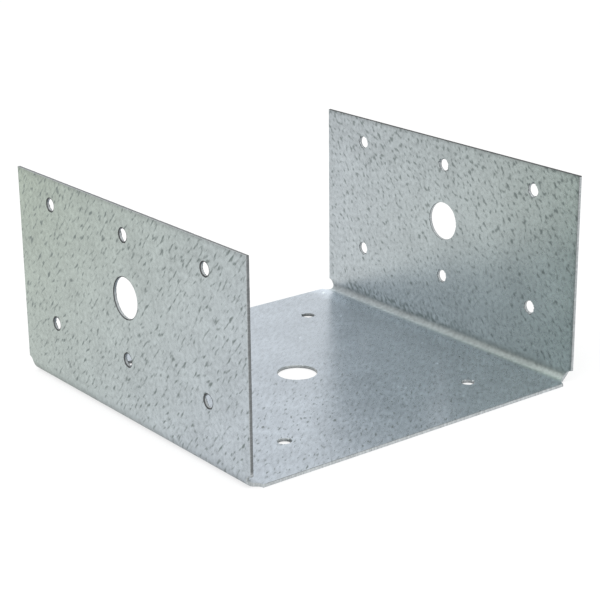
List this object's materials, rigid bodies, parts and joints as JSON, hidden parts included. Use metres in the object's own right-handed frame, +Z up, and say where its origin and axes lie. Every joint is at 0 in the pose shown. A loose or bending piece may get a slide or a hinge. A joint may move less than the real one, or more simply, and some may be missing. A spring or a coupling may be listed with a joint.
{
  "type": "post cap bracket",
  "caption": "Square channel folded from galvanised sheet that holds the end of a square post between two flanges, with bolt and nail holes in the flanges and the base.",
  "frame": {"origin": "middle of the base's underside", "axes": "+X across the channel from flange to flange, +Y along the bends, +Z up the flanges"},
  "size_m": [0.1422, 0.1366, 0.0762],
  "materials": {
    "galvanised_sheet": "satin, mottled zinc coating"
  },
  "bodies": {
    "root": {"bracket": "galvanised_sheet"}
  },
  "joints": []
}
